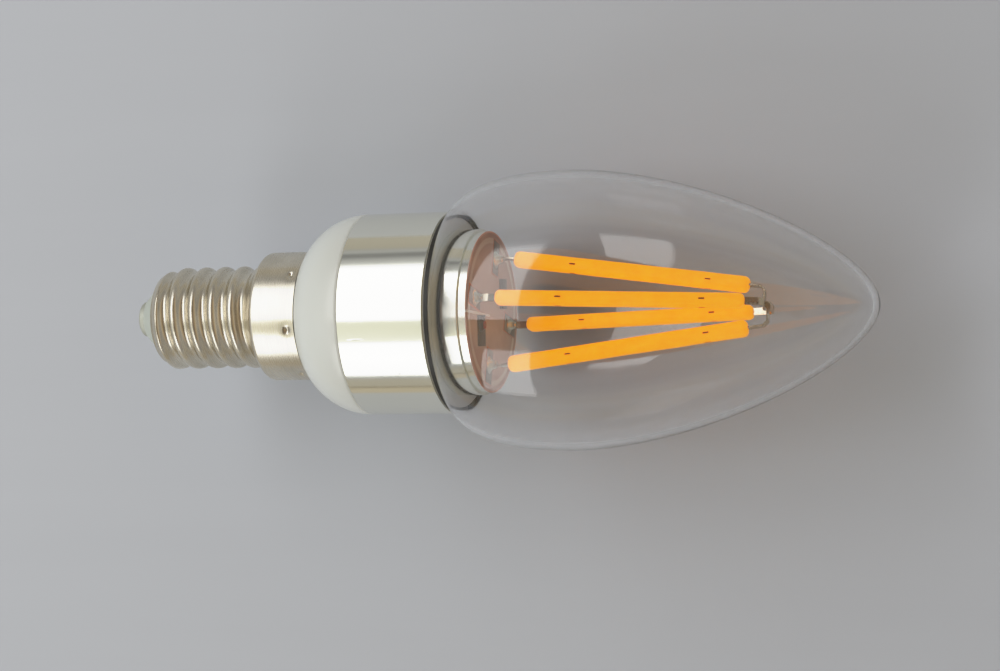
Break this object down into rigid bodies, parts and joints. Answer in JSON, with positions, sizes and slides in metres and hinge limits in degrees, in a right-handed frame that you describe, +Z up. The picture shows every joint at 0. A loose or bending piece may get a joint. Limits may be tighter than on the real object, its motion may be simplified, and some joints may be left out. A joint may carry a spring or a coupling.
{
  "type": "led candle bulb",
  "caption": "Clear candle-shaped LED filament bulb with a small screw cap, white dome, polished aluminium ring and upright filaments.",
  "frame": {"origin": "centre of the end contact's outer face, on the bulb's axis", "axes": "+X along the bulb's axis from the cap to the tip, +Z up with the bulb lying level, +Y across"},
  "size_m": [0.1007, 0.0362, 0.0362],
  "materials": {
    "nickel": "bright nickel plate on a drawn brass shell",
    "contact_metal": "tinned contact",
    "plug_plastic": "pale moulded insulator",
    "white_plastic": "glossy white moulding",
    "aluminium": "turned and polished",
    "sealant": "dark silicone sealant",
    "clear_cover": "clear, polished",
    "led_board": "circuit board with a copper-coloured face",
    "phosphor": "yellow-orange phosphor coat",
    "tab_metal": "tinned steel tabs",
    "solder": "solder",
    "driver_board": "glass epoxy board",
    "component_black": "moulded component",
    "capacitor_sleeve": "shrunk sleeve",
    "ferrite": "wound ferrite drum",
    "resistor": "lacquered body",
    "wire_red": "insulated wire",
    "wire_black": "insulated wire",
    "wire_white": "insulated wire"
  },
  "bodies": {
    "root": {"screw_shell": "nickel", "centre_contact": "contact_metal", "cap_insulator": "plug_plastic", "housing": "white_plastic", "heat_sink": "aluminium", "cover_seal": "sealant", "cover": "clear_cover", "led_board": "led_board", "solder_joints": "solder", "driver_board": "driver_board", "smoothing_capacitor": "capacitor_sleeve", "choke": "ferrite", "bridge_rectifier": "component_black", "driver_chip": "component_black", "fuse_resistor": "resistor", "live_wire": "wire_red", "neutral_wire": "wire_white", "led_wire_positive": "wire_red", "led_wire_negative": "wire_black", "filament_1": "phosphor", "filament_foot_1": "tab_metal", "filament_head_1": "tab_metal", "filament_2": "phosphor", "filament_foot_2": "tab_metal", "filament_head_2": "tab_metal", "filament_3": "phosphor", "filament_foot_3": "tab_metal", "filament_head_3": "tab_metal", "filament_4": "phosphor", "filament_foot_4": "tab_metal", "filament_head_4": "tab_metal"}
  },
  "joints": []
}
